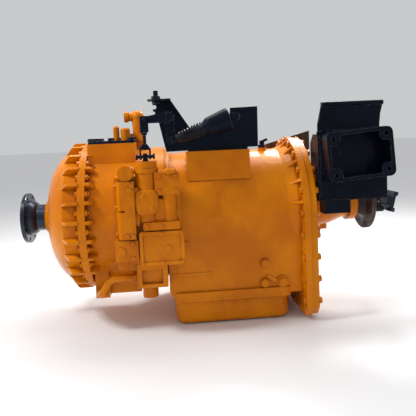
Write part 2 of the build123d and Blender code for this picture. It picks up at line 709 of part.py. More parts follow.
with BuildPart() as accumulator:
    block((434, 549), (-300, manifold_face), (-16, 8))
    fillet(accumulator.edges().filter_by(Axis.Y), 6)
    rod((517, -270, 8), (517, -270, 91), 22)
    block((480, 560), (manifold_face, -230), (-20, 91), mode=Mode.SUBTRACT)
    drill([(x, -300, z) for x, z in bar_spots], (0, -1, 0), 4.5, 38)
write(accumulator, "accumulator")

with BuildPart() as sump_block:
    block((404, 502), (-262, -120), (-212, -129))
    fillet(sump_block.edges().filter_by(Axis.X).group_by(Axis.Z)[0], 14)
    rod((440, -168, -264), (440, -168, -200), 26)
    block((340, 505), (pad_face, -100), (-150, 0), mode=Mode.SUBTRACT)
    ring(400, 504, barrel_r, mode=Mode.SUBTRACT)
    block((420, 486), (-264, -250), (-196, -150), mode=Mode.SUBTRACT)
    rod((403, -215, -183), (415, -215, -183), 12, mode=Mode.SUBTRACT)
write(sump_block, "sump_block")

with BuildPart() as valve_bolts:
    hex_bolts([(x, -301, z) for x, z in cover_corners], (0, -1, 0), 8, 39)
    hex_bolts([(x, -297, z) for x, z in regulator_spots], (0, -1, 0), 9, 30)
    hex_bolts([(x, -300, z) for x, z in bar_spots], (0, -1, 0), 9, 38)
    hex_bolts([(x, valve_face, z) for x in (489, 539) for z in (104, 150)], (0, -1, 0), 9)
    hex_bolts([(398, valve_face, z) for z in (-102, -56)], (0, -1, 0), 9)
    hex_bolts([(354, -272, z) for z in (-28, 56, 122)], (-1, 0, 0), 9)
write(valve_bolts, "valve_bolts")

with BuildPart() as oil_pipe:
    with BuildLine() as route:
        FilletPolyline((415, -215, -183), (316, -215, -183), (276, -210, -240), (276, -165, -240),
                       radius=[34, 24])
    with BuildSketch(Plane((415, -215, -183), z_dir=(-1, 0, 0))):
        Circle(12)
    sweep()
    for start, way in (((404, -215, -183), (-1, 0, 0)), ((276, -165, -240), (0, -1, 0))):
        with BuildSketch(Plane(start, z_dir=way)) as nut:
            RegularPolygon(19, 6)
        extrude(nut.sketch, amount=16)
write(oil_pipe, "oil_pipe")

# ================================================================ shift linkage
with BuildPart() as linkage_bracket:
    plate([(516, 221), (829, 226), (831, 362), (738, 360), (733, 296), (604, 290), (538, 394),
           (478, 394), (478, 350), (496, 318)], plate_y0, plate_y1)
    block((463, 538), (-196, plate_y1), (390, 396))
    block((590, 793), (plate_y0, -92), (219, 227))
    rod((483, plate_y0 - 1, 372), (483, plate_y1 + 1, 372), 7, mode=Mode.SUBTRACT)
    rod((479, plate_y0 - 1, 352), (479, plate_y1 + 1, 352), 6, mode=Mode.SUBTRACT)
    drill([(x, -110, 227) for x in (605, 778)], (0, 0, 1), 6.3, 10)
    drill([(490, -176, 396)], (0, 0, 1), 8.1, 8)
    for x, z, radius in ((*pivot, 10), (*actuator_pin, 8)):
        rod((x, plate_y0 - 1, z), (x, plate_y1 + 1, z), radius + RUN, mode=Mode.SUBTRACT)
write(linkage_bracket, "linkage_bracket")

with BuildPart() as outer_fittings:
    hex_bolts([(x, -110, 227) for x in (605, 778)], (0, 0, 1), 12, 30, washer=True)
    rod((490, -176, 382), (490, -176, 424), 8)
    hex_bolts([(490, -176, 396)], (0, 0, 1), 16)
    hex_bolts([(490, -176, 390)], (0, 0, -1), 14)
    hex_bolts([(1020, -180, z) for z in (56, 104)], (1, 0, 0), 14, 8, washer=True)
    # temperature sender with its side connector
    hex_bolts([(sender_x, sender_y, sender_z)], (0, 0, 1), 16, 20)
    rod((sender_x, sender_y, sender_z + 10), (sender_x, sender_y, sender_z + 26), 9)
    rod((sender_x, sender_y, sender_z + 22), (sender_x + 20, sender_y, sender_z + 30), 5)
write(outer_fittings, "outer_fittings")

with BuildPart() as pivot_pins:
    rod((pivot[0], -264, pivot[1]), (pivot[0], -142, pivot[1]), 10)
    rod((pivot[0], -270, pivot[1]), (pivot[0], -263, pivot[1]), 14)
    rod((pivot[0], plate_y1, pivot[1]), (pivot[0], -138, pivot[1]), 15)
    rod((actuator_pin[0], -218, actuator_pin[1]), (actuator_pin[0], -142, actuator_pin[1]), 8)
    rod((actuator_pin[0], -222, actuator_pin[1]), (actuator_pin[0], -217, actuator_pin[1]), 12)
    rod((actuator_pin[0], plate_y1, actuator_pin[1]), (actuator_pin[0], -138, actuator_pin[1]), 13)
write(pivot_pins, "pivot_pins")


def lever(first, last, first_r, last_r, y0, y1):
    """A flat lever between two round ends."""
    way = Vector(last[0] - first[0], last[1] - first[1])
    side = Vector(-way.Y, way.X).normalized()
    corners = []
    for centre, radius in ((first, first_r), (last, last_r)):
        corners.append((Vector(*centre) + side * radius, Vector(*centre) - side * radius))
    outline = [corners[0][0], corners[1][0], corners[1][1], corners[0][1]]
    plate([(p.X, p.Y) for p in outline], y0, y1)
    for centre, radius in ((first, first_r), (last, last_r)):
        rod((centre[0], y0, centre[1]), (centre[0], y1, centre[1]), radius)


with BuildPart() as bellcrank:
    lever(pivot, arm_pin, 18, 10, link_y - 6, link_y + 6)
    lever(pivot, rod_pin, 18, 12, -191, -179)
    rod((pivot[0], -261, pivot[1]), (pivot[0], -160, pivot[1]), 18)
    rod((pivot[0], -262, pivot[1]), (pivot[0], -159, pivot[1]), 10 + RUN, mode=Mode.SUBTRACT)
    rod((arm_pin[0], link_y - 18, arm_pin[1]), (arm_pin[0], link_y + 18, arm_pin[1]), 5)
    rod((rod_pin[0], -218, rod_pin[1]), (rod_pin[0], -185, rod_pin[1]), 6)
write(bellcrank, "bellcrank")

with BuildPart() as control_link:
    block((438, 464), (link_y - 13, link_y + 13), (288, 339))
    fillet(control_link.edges().filter_by(Axis.Z), 4)
    block((430, 470), (link_y - 6.6, link_y + 6.6), (304, 340), mode=Mode.SUBTRACT)
    rod((arm_pin[0], link_y - 20, arm_pin[1]), (arm_pin[0], link_y + 20, arm_pin[1]), 5 + RUN,
        mode=Mode.SUBTRACT)
    rod((spool_x, link_y, 244), (spool_x, link_y, 290), 5)
    rod((spool_x, link_y, 280), (spool_x, link_y, 288), 9)
    with BuildSketch(Plane.XZ.offset(-link_y - 7)) as yoke:
        with BuildLine():
            Polyline((432, 203), (432, 236), (443, 252), (457, 252), (468, 236), (468, 203), (462, 203),
                     (462, 233), (438, 233), (438, 203), close=True)
        make_face()
    extrude(amount=14)
    rod((420, link_y, spool_eye_z), (480, link_y, spool_eye_z), 5.3, mode=Mode.SUBTRACT)
write(control_link, "control_link")

with BuildPart() as selector_spool:
    rod((spool_x, link_y, 48), (spool_x, link_y, 204), 9)
    for z in (80, 120, 160):
        ring_cut = Plane((spool_x, link_y, z))
        with BuildSketch(ring_cut) as groove:
            Circle(10)
            Circle(6.5, mode=Mode.SUBTRACT)
        extrude(groove.sketch, amount=10, mode=Mode.SUBTRACT)
    block((443, 457), (link_y - 9, link_y + 9), (200, 222))
    rod((424, link_y, spool_eye_z), (476, link_y, spool_eye_z), 5)
    rod((420, link_y, spool_eye_z), (426, link_y, spool_eye_z), 9)
    rod((474, link_y, spool_eye_z), (480, link_y, spool_eye_z), 9)
write(selector_spool, "selector_spool")

# the actuator lies along the line from the rod pin up to its rear pivot
lean = atan2(actuator_pin[1] - rod_pin[1], actuator_pin[0] - rod_pin[0])
actuator_length = hypot(actuator_pin[0] - rod_pin[0], actuator_pin[1] - rod_pin[1])


def on_axis(distance):
    """Point on the actuator's axis, measured from the rod pin."""
    return (rod_pin[0] + distance * cos(lean), actuator_y, rod_pin[1] + distance * sin(lean))


def barrel_shape(outline, mode=Mode.ADD):
    """A body of revolution about the actuator's axis from (distance, radius) points."""
    axis = Axis(on_axis(0), (cos(lean), 0, sin(lean)))
    plane = Plane(on_axis(0), x_dir=(cos(lean), 0, sin(lean)), z_dir=(0, -1, 0))
    with BuildSketch(plane) as half:
        with BuildLine():
            Polyline(*outline, close=True)
        make_face()
    revolve(half.sketch, axis=axis, mode=mode)


with BuildPart() as actuator_body:
    barrel_shape([(112, 8 + RUN), (112, 21), (118, 22), (130, 30), (196, 37), (204, 36), (207, 30),
                  (207, 0), (192, 0), (192, 26.1), (134, 26.1), (134, 8 + RUN)])
    rod((actuator_pin[0], -214, actuator_pin[1]), (actuator_pin[0], -196, actuator_pin[1]), 15)
    lug = [on_axis(200), on_axis(actuator_length)]
    lever((lug[0][0], lug[0][2]), (lug[1][0], lug[1][2]), 15, 15, -214, -196)
    barrel_shape([(134, 0), (192, 0), (192, 26.1), (134, 26.1)], mode=Mode.SUBTRACT)
    rod((actuator_pin[0], -215, actuator_pin[1]), (actuator_pin[0], -195, actuator_pin[1]), 8 + RUN,
        mode=Mode.SUBTRACT)
write(actuator_body, "actuator_body")

rib_count = 8
boot_x0, boot_x1 = 26.0, 111.7
with BuildPart() as actuator_boot:
    boot_points = [(boot_x0 - 8, 8.4), (boot_x0 - 8, 13), (boot_x0, 13)]
    rib = (boot_x1 - 8 - boot_x0) / rib_count
    for fold in range(rib_count):
        start = boot_x0 + rib * fold
        swell = 1.2 * fold
        boot_points += [(start + 0.15 * rib, 14 + swell), (start + 0.5 * rib, 19 + swell)]
        boot_points += [(start + 0.85 * rib, 15 + swell)]
    boot_points += [(boot_x1 - 7, 23), (boot_x1, 23), (boot_x1, 12), (boot_x0, 9), (boot_x0, 8.4)]
    barrel_shape(boot_points)
write(actuator_boot, "actuator_boot")

with BuildPart() as actuator_rod:
    barrel_shape([(10, 0), (10, 8), (154, 8), (154, 26), (167, 26), (167, 0)])
    rod((rod_pin[0], -212, rod_pin[1]), (rod_pin[0], -198, rod_pin[1]), 14)
    rod((rod_pin[0], -213, rod_pin[1]), (rod_pin[0], -197, rod_pin[1]), 6.5, mode=Mode.SUBTRACT)
write(actuator_rod, "actuator_rod")

# ================================================================ mounting bracket at the rear
box_width, box_height, box_wall = 218.0, 160.0, 12.0
box_front, box_back = -300.0, -234.0
hole_dx, hole_dz, hole_r = 86.5, 57.5, 7.0

with BuildPart() as mount_bracket:
    block((1012, 1020), (box_back, -150), (36, 258))
    chamfer(mount_bracket.edges().filter_by(Axis.X).group_by(Axis.Z)[-1].sort_by(Axis.Y)[-1], 30)
    block((1012, 1246), (box_back, -222), (36, 267))
    block((1027, 1116), (-240, -190), (-6, 40))
    block((1030, 1240), (-222, -196), (60, 68))
    drill([(1020, -180, z) for z in (56, 104)], (1, 0, 0), 7, 9)
write(mount_bracket, "mount_bracket")

slope = radians(box_tilt)
box_x_dir = (cos(slope), 0, sin(slope))
box_face = Plane((box_centre[0], box_front, box_centre[1]), x_dir=box_x_dir, z_dir=(0, -1, 0))
with BuildPart() as mount_box:
    with BuildSketch(box_face) as frame:
        RectangleRounded(box_width, box_height, 20)
        Rectangle(box_width - 2 * box_wall, box_height - 2 * box_wall, mode=Mode.SUBTRACT)
    extrude(amount=box_front - box_back)
    with BuildSketch(box_face) as pads:
        with GridLocations(2 * hole_dx, 2 * hole_dz, 2, 2):
            Circle(22.4)
    extrude(amount=-16)
    with BuildSketch(box_face) as holes:
        with GridLocations(2 * hole_dx, 2 * hole_dz, 2, 2):
            Circle(hole_r)
    extrude(amount=-17, mode=Mode.SUBTRACT)
write(mount_box, "mount_box")

with BuildPart() as guard_sheet:
    plate([(1014, 267), (1222, 267), (1227, 318), (1237, 356), (1029, 356), (1014, 290)], -231, -225)
    rod((1029, -228, 355), (1237, -228, 355), 8)
write(guard_sheet, "guard_sheet")

with BuildPart() as side_rail:
    plate([(896, 208), (952, 208), (952, 226), (1004, 226), (1004, 150), (1018, 150), (1086, 200),
           (1086, 272), (896, 222)], 112, 120)
    block((1000, 1008), (96, 120), (150, 226))
write(side_rail, "side_rail")
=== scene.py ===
import json
from math import cos, pi, radians, sin, tau

import bmesh
import bpy
from mathutils import Matrix, Vector, noise


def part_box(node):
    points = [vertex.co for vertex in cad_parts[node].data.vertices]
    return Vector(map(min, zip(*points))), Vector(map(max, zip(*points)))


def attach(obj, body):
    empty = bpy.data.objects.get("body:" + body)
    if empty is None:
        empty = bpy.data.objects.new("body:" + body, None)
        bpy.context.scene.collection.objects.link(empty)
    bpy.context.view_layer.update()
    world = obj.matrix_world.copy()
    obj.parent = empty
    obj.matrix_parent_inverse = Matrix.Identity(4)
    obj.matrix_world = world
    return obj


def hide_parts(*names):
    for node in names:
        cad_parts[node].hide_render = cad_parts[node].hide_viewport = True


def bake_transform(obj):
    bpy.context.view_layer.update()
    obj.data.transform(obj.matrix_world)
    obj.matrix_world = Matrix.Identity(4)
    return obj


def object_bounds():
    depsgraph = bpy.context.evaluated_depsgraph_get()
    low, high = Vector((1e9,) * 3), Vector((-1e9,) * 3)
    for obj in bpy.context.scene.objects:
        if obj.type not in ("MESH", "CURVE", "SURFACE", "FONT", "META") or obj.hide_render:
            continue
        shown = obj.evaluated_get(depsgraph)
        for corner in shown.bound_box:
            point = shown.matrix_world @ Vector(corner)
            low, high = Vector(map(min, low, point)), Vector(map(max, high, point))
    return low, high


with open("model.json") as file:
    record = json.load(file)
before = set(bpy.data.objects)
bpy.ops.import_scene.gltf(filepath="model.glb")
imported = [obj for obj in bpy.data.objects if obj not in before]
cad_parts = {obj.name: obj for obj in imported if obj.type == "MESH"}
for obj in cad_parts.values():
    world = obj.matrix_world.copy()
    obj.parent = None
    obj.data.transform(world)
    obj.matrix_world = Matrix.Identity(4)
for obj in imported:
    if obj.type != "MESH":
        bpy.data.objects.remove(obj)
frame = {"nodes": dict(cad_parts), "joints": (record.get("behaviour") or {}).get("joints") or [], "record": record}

CAD_LOW, CAD_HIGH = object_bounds()
NODES = frame["nodes"]
JOINTS = {joint["name"]: joint for joint in frame["joints"]}
MOUNTS = {mount["name"]: mount for mount in frame["record"]["mounts"]}


# ---------------------------------------------------------------- materials
class Look:
    """A material being made: its nodes, and short names for the ones used most."""

    def __init__(self, name, **settings):
        self.material = bpy.data.materials.new(name)
        self.material.use_nodes = True
        self.tree = self.material.node_tree
        self.shader = self.tree.nodes["Principled BSDF"]
        self.place = self.tree.nodes.new("ShaderNodeTexCoord").outputs["Object"]
        for socket, value in settings.items():
            self.shader.inputs[socket.replace("_", " ")].default_value = value

    def put(self, value, socket):
        """Sets a socket to a constant, or links another node's output to it."""
        if isinstance(value, bpy.types.NodeSocket):
            self.tree.links.new(value, socket)
        else:
            socket.default_value = value

    def noise(self, scale, detail=3.0, roughness=0.55, stretch=(1, 1, 1)):
        """Cloudy noise from 0 to 1, with so many waves to a metre."""
        mapping = self.tree.nodes.new("ShaderNodeMapping")
        mapping.inputs["Scale"].default_value = stretch
        self.put(self.place, mapping.inputs["Vector"])
        made = self.tree.nodes.new("ShaderNodeTexNoise")
        self.put(mapping.outputs[0], made.inputs["Vector"])
        made.inputs["Scale"].default_value = scale
        made.inputs["Detail"].default_value = detail
        made.inputs["Roughness"].default_value = roughness
        return made.outputs["Fac"]

    def cells(self, scale):
        """Distance to the nearest of scattered points, for chips and spatter."""
        made = self.tree.nodes.new("ShaderNodeTexVoronoi")
        self.put(self.place, made.inputs["Vector"])
        made.inputs["Scale"].default_value = scale
        return made.outputs["Distance"]

    def band(self, value, low, high):
        """0 below low and 1 above high, smooth between. With low over high it runs the other way."""
        made = self.tree.nodes.new("ShaderNodeMapRange")
        made.interpolation_type = "SMOOTHSTEP"
        self.put(value, made.inputs["Value"])
        made.inputs["From Min"].default_value = min(low, high)
        made.inputs["From Max"].default_value = max(low, high)
        made.inputs["To Min"].default_value = 0.0 if low < high else 1.0
        made.inputs["To Max"].default_value = 1.0 if low < high else 0.0
        return made.outputs["Result"]

    def math(self, how, first, second=0.0):
        made = self.tree.nodes.new("ShaderNodeMath")
        made.operation = how
        made.use_clamp = True
        self.put(first, made.inputs[0])
        self.put(second, made.inputs[1])
        return made.outputs[0]

    def mix(self, share, first, second):
        """A colour between two colours."""
        made = self.tree.nodes.new("ShaderNodeMix")
        made.data_type = "RGBA"
        self.put(share, made.inputs["Factor"])
        for socket, colour in ((made.inputs[6], first), (made.inputs[7], second)):
            self.put((*colour, 1.0) if isinstance(colour, tuple) else colour, socket)
        return made.outputs[2]

    def between(self, share, low, high):
        """A number between two numbers."""
        made = self.tree.nodes.new("ShaderNodeMapRange")
        self.put(share, made.inputs["Value"])
        made.inputs["To Min"].default_value = low
        made.inputs["To Max"].default_value = high
        return made.outputs["Result"]

    def pockets(self, reach=0.02):
        """1 deep in corners and crevices, 0 in the open."""
        made = self.tree.nodes.new("ShaderNodeAmbientOcclusion")
        made.samples = 6
        made.inputs["Distance"].default_value = reach
        return self.band(made.outputs["AO"], 0.85, 0.30)

    def edges(self, reach=0.004):
        """1 on outer and inner edges, 0 on flat or gently curved faces."""
        rounded = self.tree.nodes.new("ShaderNodeBevel")
        rounded.samples = 4
        rounded.inputs["Radius"].default_value = reach
        plain = self.tree.nodes.new("ShaderNodeNewGeometry")
        dot = self.tree.nodes.new("ShaderNodeVectorMath")
        dot.operation = "DOT_PRODUCT"
        self.put(rounded.outputs[0], dot.inputs[0])
        self.put(plain.outputs["Normal"], dot.inputs[1])
        return self.band(dot.outputs["Value"], 0.985, 0.86)

    def facing_up(self):
        """1 on faces that look up, where dust settles."""
        plain = self.tree.nodes.new("ShaderNodeNewGeometry")
        split = self.tree.nodes.new("ShaderNodeSeparateXYZ")
        self.put(plain.outputs["Normal"], split.inputs[0])
        return self.band(split.outputs["Z"], 0.35, 0.95)

    def relief(self, *layers, rounding=0.0):
        """Bump from (height, depth in metres) layers, over edges rounded by so much."""
        normal = None
        if rounding > 0:
            rounded = self.tree.nodes.new("ShaderNodeBevel")
            rounded.samples = 4
            rounded.inputs["Radius"].default_value = rounding
            normal = rounded.outputs[0]
        for height, depth in layers:
            bump = self.tree.nodes.new("ShaderNodeBump")
            bump.inputs["Distance"].default_value = depth
            self.put(height, bump.inputs["Height"])
            if normal is not None:
                self.put(normal, bump.inputs["Normal"])
            normal = bump.outputs[0]
        self.put(normal, self.shader.inputs["Normal"])
        return normal

    def finish(self, colour, roughness, metal=None):
        self.put(colour, self.shader.inputs["Base Color"])
        self.put(roughness, self.shader.inputs["Roughness"])
        if metal is not None:
            self.put(metal, self.shader.inputs["Metallic"])
        return self.material


def enamel(name, fresh, deep, grime_and_shade, under, chips=0.14, lumps=1.0):
    """Thick glossy machine enamel, brushed over rough castings and a little dirty, with painted shade darkening
    its corners and crevices.
    """
    look = Look(name, Coat_Weight=0.24, Coat_Roughness=0.13, Coat_IOR=1.4, IOR=1.4, Specular_IOR_Level=0.22,
                Specular_Tint=(1.0, 0.72, 0.35, 1.0))
    cloud = look.noise(6.0, 4.0)
    tone = look.mix(look.band(cloud, 0.35, 0.68), fresh, deep)
    mottle = look.noise(55.0, 5.0, 0.65)
    tone = look.mix(look.math("MULTIPLY", look.band(mottle, 0.5, 0.72), 0.22), tone, deep)
    dust = look.math("MULTIPLY", look.facing_up(), look.band(look.noise(24.0, 6.0, 0.7), 0.45, 0.75))
    tone = look.mix(look.math("MULTIPLY", dust, 0.12), tone, (0.62, 0.40, 0.18))
    runs = look.band(look.noise(14.0, 5.0, 0.6, stretch=(1.0, 1.0, 0.16)), 0.56, 0.74)
    tone = look.mix(look.math("MULTIPLY", runs, 0.20), tone, grime_and_shade)
    # Corners and crevices go dark brown: grime, and partly painted shade where light does not reach.
    dirt_and_shade = look.math("MULTIPLY", look.pockets(0.018), look.band(look.noise(38.0, 5.0), 0.30, 0.62))
    tone = look.mix(look.math("MULTIPLY", dirt_and_shade, 0.55), tone, grime_and_shade)
    worn = look.math("MULTIPLY", look.edges(0.0025), look.band(look.noise(150.0, 4.0, 0.7), 0.56, 0.66))
    specks = look.math("MULTIPLY", look.band(look.cells(30.0), 0.10, 0.05), look.band(cloud, 0.55, 0.62))
    bare = look.math("MULTIPLY", look.math("MAXIMUM", worn, specks), chips)
    tone = look.mix(bare, tone, under)
    dullness = look.between(look.math("MAXIMUM", dirt_and_shade, look.band(mottle, 0.4, 0.8)), 0.24, 0.55)
    casting_waves = (look.noise(26.0, 3.0), 0.0016 * lumps)
    casting_grain = (look.noise(120.0, 4.0, 0.6), 0.0006 * lumps)
    orange_peel = (look.noise(700.0, 2.0), 0.00008)
    normal = look.relief(casting_waves, casting_grain, orange_peel, rounding=0.002)
    look.put(normal, look.shader.inputs["Coat Normal"])
    return look.finish(tone, dullness)


def black_enamel(name, tint, edge_wear_and_highlight_tone, rust=0.0, gloss=0.30, shine=0.13):
    """Black enamel on plate steel: rubbed grey along the edges and partly a painted bluish highlight there, with
    rust coming through.
    """
    look = Look(name, Coat_Weight=0.5 * shine, Coat_Roughness=0.16, IOR=1.4, Specular_IOR_Level=shine,
                Specular_Tint=(0.55, 0.72, 1.0, 1.0))
    cloud = look.noise(9.0, 5.0, 0.6)
    tone = look.mix(look.band(cloud, 0.4, 0.7), tint, tuple(0.45 * c for c in tint))
    dust = look.math("MULTIPLY", look.facing_up(), look.band(look.noise(30.0, 6.0, 0.7), 0.35, 0.7))
    tone = look.mix(look.math("MULTIPLY", dust, 0.14), tone, (0.10, 0.11, 0.15))
    # Edges go pale bluish grey: rubbed paint, and partly a painted highlight along the edges.
    bright_edges = look.math("MULTIPLY", look.edges(0.005), look.band(look.noise(80.0, 5.0, 0.7), 0.42, 0.60))
    tone = look.mix(look.math("MULTIPLY", bright_edges, 0.7), tone, edge_wear_and_highlight_tone)
    scabs = look.band(look.noise(32.0, 8.0, 0.72), 0.66 - 0.22 * rust, 0.74 - 0.20 * rust)
    rusty = look.math("MULTIPLY", scabs, min(1.0, 1.3 * rust))
    rust_cloud = look.band(look.noise(90.0, 5.0, 0.7), 0.35, 0.65)
    red = look.mix(rust_cloud, (0.16, 0.055, 0.022), (0.055, 0.022, 0.014))
    tone = look.mix(rusty, tone, red)
    dullness = look.between(look.math("MAXIMUM", rusty, look.band(cloud, 0.45, 0.85)), gloss, 0.78)
    look.relief((look.noise(70.0, 4.0, 0.6), 0.0006), (look.noise(420.0, 3.0), 0.00012), rounding=0.0012)
    return look.finish(tone, dullness)


def rusty_steel(name, light, dark, shine):
    """Machined steel under a thin brown film of rust, brighter where its edges are worn."""
    look = Look(name, Specular_IOR_Level=0.5)
    film = look.noise(42.0, 7.0, 0.7)
    tone = look.mix(look.band(film, 0.35, 0.66), light, dark)
    bright_edges = look.math("MULTIPLY", look.edges(), look.band(look.noise(110.0, 4.0, 0.7), 0.40, 0.60))
    tone = look.mix(look.math("MULTIPLY", bright_edges, 0.6), tone, (0.42, 0.36, 0.31))
    pits = look.noise(260.0, 5.0, 0.7)
    dullness = look.between(look.band(film, 0.3, 0.7), 0.38, 0.75)
    look.relief((film, 0.0004), (pits, 0.00016), rounding=0.0008)
    return look.finish(tone, dullness, look.between(look.band(film, 0.7, 0.3), 0.15, shine))


def ground_steel(name, colour, roughness, grain=(1, 1, 1)):
    """Bare ground or cast metal with an oil film and fine working marks, and painted shade in its corners."""
    look = Look(name, Anisotropic=0.25)
    film = look.noise(30.0, 5.0, 0.6)
    tone = look.mix(look.band(film, 0.4, 0.7), colour, tuple(0.62 * c for c in colour))
    marks = look.noise(300.0, 4.0, 0.6, stretch=grain)
    # Painted shade: darker brown in corners and crevices.
    tone = look.mix(look.math("MULTIPLY", look.pockets(0.01), 0.7), tone, (0.06, 0.045, 0.03))
    look.relief((marks, 0.00006), (look.noise(60.0, 3.0), 0.0002), rounding=0.0008)
    return look.finish(tone, look.between(look.math("MULTIPLY", film, marks), roughness, 0.62), 0.92)


def rubber(name, colour):
    """Moulded black rubber with a grey bloom and dust in its folds."""
    look = Look(name, Sheen_Weight=0.04, Sheen_Roughness=0.5, Specular_IOR_Level=0.22)
    bloom = look.band(look.noise(45.0, 6.0, 0.7), 0.4, 0.72)
    tone = look.mix(look.math("MULTIPLY", bloom, 0.4), colour, (0.016, 0.017, 0.023))
    dusty = look.math("MULTIPLY", look.pockets(0.008), look.band(look.noise(90.0, 4.0), 0.4, 0.6))
    tone = look.mix(look.math("MULTIPLY", dusty, 0.25), tone, (0.022, 0.020, 0.021))
    look.relief((look.noise(160.0, 4.0), 0.0003), (look.noise(900.0, 2.0), 0.00005))
    return look.finish(tone, look.between(bloom, 0.42, 0.68))


ORANGE, AMBER = (0.68, 0.205, 0.0), (0.54, 0.138, 0.0)
GRIME_AND_SHADE_TONE, PRIMER = (0.060, 0.020, 0.004), (0.13, 0.055, 0.04)
MATERIALS = {
    "yellow_paint": enamel("yellow_enamel", ORANGE, AMBER, GRIME_AND_SHADE_TONE, PRIMER),
    # The bolts' chipped edges show a pale pink: bare primer, and partly a painted glint on their edges.
    "yellow_bolts": enamel("yellow_bolt_enamel", (0.65, 0.190, 0.0), (0.51, 0.125, 0.0), GRIME_AND_SHADE_TONE,
                           (0.42, 0.22, 0.20), chips=0.8, lumps=0.5),
    "black_paint": black_enamel("black_enamel", (0.0040, 0.0055, 0.0125), (0.11, 0.14, 0.22), rust=0.06),
    "black_bolts": black_enamel("black_bolts", (0.0055, 0.0068, 0.013), (0.12, 0.12, 0.14),
                                rust=0.1, gloss=0.26),
    "brown_steel": rusty_steel("brown_steel", (0.060, 0.034, 0.026), (0.022, 0.012, 0.010), 0.5),
    "bare_steel": ground_steel("ground_steel", (0.56, 0.57, 0.58), 0.22),
    "cast_alloy": ground_steel("cast_alloy", (0.66, 0.66, 0.65), 0.42),
    "friction_steel": ground_steel("friction_steel", (0.30, 0.24, 0.17), 0.50, grain=(1, 1, 6)),
    "rubber": rubber("moulded_rubber", (0.004, 0.0048, 0.0085)),
}
BLUE_BLACK = black_enamel("blue_black_flange", (0.007, 0.009, 0.020), (0.08, 0.09, 0.13),
                          rust=0.04, gloss=0.2, shine=0.6)
RUSTY_BLACK = black_enamel("rusty_black_plate", (0.0040, 0.0048, 0.0105), (0.10, 0.09, 0.10),
                           rust=0.20, gloss=0.34)
YOKE_BLACK = black_enamel("greasy_black_yoke", (0.007, 0.009, 0.016), (0.10, 0.10, 0.14),
                          rust=0.1, gloss=0.22, shine=0.35)
RAIL_BROWN = rusty_steel("rail_brown", (0.075, 0.032, 0.022), (0.030, 0.014, 0.010), 0.3)
DARK_STEEL = rusty_steel("dark_oily_steel", (0.060, 0.055, 0.055), (0.022, 0.020, 0.021), 0.8)
OWN_LOOK = {
    "input_flange": BLUE_BLACK, "flange_yoke": YOKE_BLACK, "loose_yoke": YOKE_BLACK,
    "joint_cross": DARK_STEEL, "mount_bracket": RUSTY_BLACK, "mount_box": RUSTY_BLACK,
    "side_rail": RAIL_BROWN,
    "actuator_rod": MATERIALS["black_bolts"], "selector_spool": MATERIALS["black_bolts"],
}


# ---------------------------------------------------------------- CAD nodes
SLOT_OF = {part["node"]: part["material_slot"] for part in frame["record"]["subparts"]}
for name, node in NODES.items():
    node.data.materials.clear()
    node.data.materials.append(OWN_LOOK.get(name, MATERIALS[SLOT_OF[name]]))


# ---------------------------------------------------------------- mesh helpers
def piece(name, points, faces, material, body, smooth=True):
    """A mesh piece that rides on a body when one is given, with the material it is given."""
    mesh = bpy.data.meshes.new(name)
    mesh.from_pydata([tuple(p) for p in points], [], faces)
    tidy = bmesh.new()
    tidy.from_mesh(mesh)
    bmesh.ops.remove_doubles(tidy, verts=tidy.verts, dist=0.000001)
    bmesh.ops.recalc_face_normals(tidy, faces=tidy.faces)
    tidy.to_mesh(mesh)
    tidy.free()
    if smooth:
        mesh.shade_smooth()
    mesh.materials.append(material)
    made = bpy.data.objects.new(name, mesh)
    bpy.context.scene.collection.objects.link(made)
    if body:
        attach(made, body)
    return made


def cross_axes(way):
    """Two directions square to a way and to each other."""
    side = way.orthogonal().normalized()
    return side, way.cross(side).normalized()


def swept(rings):
    """Faces between rings of equally many points, closed round each ring and at both ends."""
    count = len(rings[0])
    points = [p for ring in rings for p in ring]
    faces = []
    for i in range(len(rings) - 1):
        for k in range(count):
            after = (k + 1) % count
            faces.append((i * count + k, i * count + after, (i + 1) * count + after, (i + 1) * count + k))
    faces.append(tuple(range(count - 1, -1, -1)))
    faces.append(tuple((len(rings) - 1) * count + k for k in range(count)))
    return points, faces


def bead(name, route, radius, body, material):
    """A weld bead along a route: a rounded bar with the ripples of the weld pool."""
    step, around, ripple = 0.0016, 10, 3.1
    ripple_height, lump_height, lumps_per_metre = 0.14, 0.25, 120
    rings = []
    for start, end in zip(route, route[1:]):
        way = end - start
        side, up = cross_axes(way.normalized())
        steps = max(2, int(way.length / step))
        for i in range(steps):
            middle = start + way * (i / steps)
            lump = lump_height * noise.noise(middle * lumps_per_metre)
            swell = radius * (1.0 + ripple_height * sin(tau * i / ripple) + lump)
            turns = [tau * k / around for k in range(around)]
            rings.append([middle + (side * cos(turn) + up * sin(turn)) * swell for turn in turns])
    points, faces = swept(rings)
    return piece(name, points, faces, material, body)


def thread(name, start, end, radius, pitch, body, material):
    """The helical ridge of a screw thread, on a bar between two points."""
    per_turn, fade, sunk = 24, 10, 0.0004
    margin, height, half_width = 0.3, 0.45, 0.42  # in pitches
    way = (end - start).normalized()
    side, up = cross_axes(way)
    turns = (end - start).length / pitch - 2 * margin
    count = int(per_turn * turns)
    rings = []
    for i in range(count + 1):
        angle = tau * turns * i / count
        out = side * cos(angle) + up * sin(angle)
        middle = start + way * pitch * (margin + turns * i / count)
        taper = min(1.0, i / fade, (count - i) / fade)
        foot = out * (radius - sunk)
        crest = out * (radius + pitch * height * taper)
        half = way * pitch * half_width
        rings.append([middle - half + foot, middle + crest, middle + half + foot])
    points, faces = swept(rings)
    return piece(name, points, faces, material, body, smooth=False)


